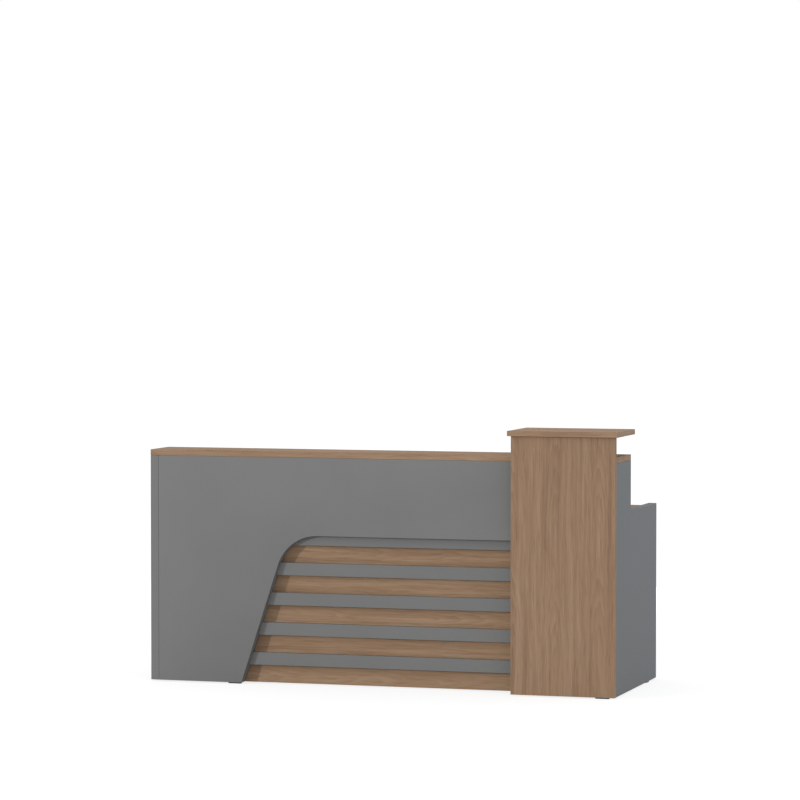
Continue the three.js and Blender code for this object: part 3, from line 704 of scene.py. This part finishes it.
def sunk_head(shape, place, outward, radius, height, sink, rim_share):
    turn = outward.to_track_quat("Z", "Y").to_matrix().to_4x4()
    spot = Matrix.Translation(place + outward * height / 2) @ turn
    made = bmesh.ops.create_cone(shape, cap_ends=True, segments=HEAD_SEGMENTS, radius1=radius,
                                 radius2=radius * HEAD_TAPER, depth=height, matrix=spot)
    around = {face for vert in made["verts"] for face in vert.link_faces}
    top = max(around, key=lambda face: face.calc_center_median().dot(outward))
    bmesh.ops.inset_region(shape, faces=[top], thickness=radius * rim_share)
    bmesh.ops.translate(shape, vec=-outward * sink, verts=top.verts)
    # the sunk middle takes the second material, a dark one painted as the shade in a deep socket or hole
    top.material_index = 1


print("screw heads:", 2 * SCREW["radius"] / MM, "mm across")

# %% Screws in the rails and the runners
RUNNER_SHEET = 1.2 * MM
RAIL_SHARES = (0.1, 0.5, 0.9)
RUNNER_SHARES = (0.2, 0.6, 0.96)


def screw_row(shape, node_name, outward, shares):
    """Screws along the middle of a channel's web, with heads that point outward along X."""
    low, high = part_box(node_name)
    web = low.x + RUNNER_SHEET if outward > 0 else high.x - RUNNER_SHEET
    for share in shares:
        spot = Vector((web, low.y + share * (high.y - low.y), (low.z + high.z) / 2))
        sunk_head(shape, spot, Vector((outward, 0, 0)), **SCREW)


rail_screws = bmesh.new()
for index in DRAWERS:
    body = f"drawer_{index}"
    runner_screws = bmesh.new()
    for side, inward in (("left", 1), ("right", -1)):
        screw_row(rail_screws, f"{body}_rail_{side}", inward, RAIL_SHARES)
        screw_row(runner_screws, f"{body}_runner_{side}", -inward, RUNNER_SHARES)
    place_piece(f"{body}_runner_screws", runner_screws, [zinc_plate, socket_painted_shade], body)
place_piece("rail_screws", rail_screws, [zinc_plate, socket_painted_shade], "carcass")
print("screws on rails and runners:", len(DRAWERS) * 2 * (len(RAIL_SHARES) + len(RUNNER_SHARES)))

# %% [markdown]
# ## Hinge screws
# The leaves of a closed hinge lie face to face, so their screws are sunk flush. Heads that stand out as
# much as the runners' would meet, so these stand out by a tenth of a millimetre, on either side of the
# hinge's axis.

# %% Screws in the hinge leaves
LEAF_SCREW = {"radius": 2.6 * MM, "height": 0.1 * MM, "sink": 0.06 * MM, "rim_share": 0.5}
LEAF_SCREW_INSET = 8 * MM
# from the hinge's axis to the face of a leaf
LEAF_FACE = Vector((0.15 * MM, 0, 0))
LEAF_SHARES = (0.2, 0.8)
TO_DOOR = Vector((1, 0, 0))
hinge_axis = Vector(next(j for j in frame["joints"] if j["name"] == "cupboard_door_hinge")["pos_m"])
frame_screws = bmesh.new()
door_screws = bmesh.new()
for level in ("lower", "upper"):
    low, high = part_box(f"hinge_{level}_frame_leaf")
    for share in LEAF_SHARES:
        spot = Vector((hinge_axis.x, low.y + LEAF_SCREW_INSET, low.z + share * (high.z - low.z)))
        sunk_head(frame_screws, spot - LEAF_FACE, TO_DOOR, **LEAF_SCREW)
        sunk_head(door_screws, spot + LEAF_FACE, -TO_DOOR, **LEAF_SCREW)
place_piece("hinge_frame_screws", frame_screws, [zinc_plate, socket_painted_shade], "carcass")
place_piece("hinge_door_screws", door_screws, [zinc_plate, socket_painted_shade], "cupboard_door")
print("hinge screws:", 4 * len(LEAF_SHARES), "flush with the leaves")

# %% [markdown]
# ## Inside the cupboard
# The shelf can move, so both sides carry two rows of holes, one every 32 millimetres, lined with plastic
# sleeves. Four steel pins in those rows hold the shelf: a collar against the side and a stem under the
# shelf. Holes in the boards would need new solids. A thin sleeve with a sunk middle, painted dark as the
# shade of a deep hole, looks the same from outside.

# %% Shelf pins and sleeves
ROW_INSET = 60 * MM
HOLE_PITCH = 32 * MM
HOLES_EACH_WAY = 5
FIT = 0.3 * MM
PIN_DROP = 2.6 * MM
COLLAR = {"radius": 4 * MM, "height": 1.2 * MM, "sink": 0.0, "rim_share": 0.3}
STEM = {"radius": 2.5 * MM, "height": 8 * MM, "sink": 0.3 * MM, "rim_share": 0.3}
SLEEVE = {"radius": 3.6 * MM, "height": 0.5 * MM, "sink": 0.4 * MM, "rim_share": 0.3}
low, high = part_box("cupboard_shelf")
# the pins sit in the middle hole of each row
free_holes = [step for step in range(-HOLES_EACH_WAY, HOLES_EACH_WAY + 1) if step != 0]
pins = bmesh.new()
sleeves = bmesh.new()
for wall, inward in ((low.x - FIT, 1), (high.x + FIT, -1)):
    out = Vector((inward, 0, 0))
    for y in (low.y + ROW_INSET, high.y - ROW_INSET):
        seat = Vector((wall, y, low.z - PIN_DROP))
        sunk_head(pins, seat, out, **COLLAR)
        sunk_head(pins, seat + out * COLLAR["height"], out, **STEM)
        for step in free_holes:
            sunk_head(sleeves, seat + Vector((0, 0, step * HOLE_PITCH)), out, **SLEEVE)
for face in pins.faces:
    face.material_index = 0
place_piece("shelf_pins", pins, [zinc_plate], "carcass")
place_piece("shelf_hole_sleeves", sleeves, [black_plastic, bore_painted_shade], "carcass")
print("shelf pins: 4, sleeves:", 4 * len(free_holes))

# %% [markdown]
# ## The door's catch
# A magnetic catch under the worktop holds the door shut: a plastic case with two jaws that pull on a steel
# plate on the door. They meet the plate with a small gap, so that nothing touches in the model. Their
# moulded shape could be followed more closely, but blocks with rounded edges are enough, since only their
# ends show when the door is open.

# %% The magnetic catch and its plate
def rounded_block(shape, low, high, radius):
    made = bmesh.ops.create_cube(shape, size=1)
    bmesh.ops.scale(shape, vec=high - low, verts=made["verts"])
    bmesh.ops.translate(shape, vec=(low + high) / 2, verts=made["verts"])
    edges = list({edge for vert in made["verts"] for edge in vert.link_edges})
    bmesh.ops.bevel(shape, geom=edges, offset=radius, offset_type="OFFSET", segments=3, profile=0.5,
                    affect="EDGES", material=-1)


CASE = Vector((46, 34, 13)) * MM
CASE_RADIUS = 1.5 * MM
JAW = Vector((36, 4, 1.6)) * MM
JAW_RADIUS = 0.3 * MM
JAW_OUT = 1.5 * MM
JAW_HEIGHTS = (3.5 * MM, 8.5 * MM)
PLATE = Vector((42, 1.2, 11)) * MM
PLATE_RADIUS = 0.4 * MM
PLATE_FIT = 0.05 * MM
PLATE_DROP = 7.5 * MM
CATCH_GAP = 0.4 * MM
CATCH_INSET = 70 * MM

door_low, door_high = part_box("cupboard_door")
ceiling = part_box("worktop")[0].z - FIT
across = door_high.x - CATCH_INSET
plate_back = door_low.y - PLATE_FIT
catch_front = plate_back - PLATE.y - CATCH_GAP
catch = bmesh.new()
rounded_block(catch, Vector((across - CASE.x / 2, catch_front - CASE.y, ceiling - CASE.z)),
              Vector((across + CASE.x / 2, catch_front - JAW_OUT, ceiling)), CASE_RADIUS)
for height in JAW_HEIGHTS:
    jaw_z = ceiling - CASE.z + height
    rounded_block(catch, Vector((across - JAW.x / 2, catch_front - JAW.y, jaw_z - JAW.z / 2)),
                  Vector((across + JAW.x / 2, catch_front, jaw_z + JAW.z / 2)), JAW_RADIUS)
place_piece("door_magnet_catch", catch, [black_plastic], "carcass")
plate = bmesh.new()
plate_z = ceiling - PLATE_DROP
rounded_block(plate, Vector((across - PLATE.x / 2, plate_back - PLATE.y, plate_z - PLATE.z / 2)),
              Vector((across + PLATE.x / 2, plate_back, plate_z + PLATE.z / 2)), PLATE_RADIUS)
place_piece("door_magnet_plate", plate, [zinc_plate], "cupboard_door")
print("catch and plate in place, gap", round(CATCH_GAP / MM, 2), "mm")
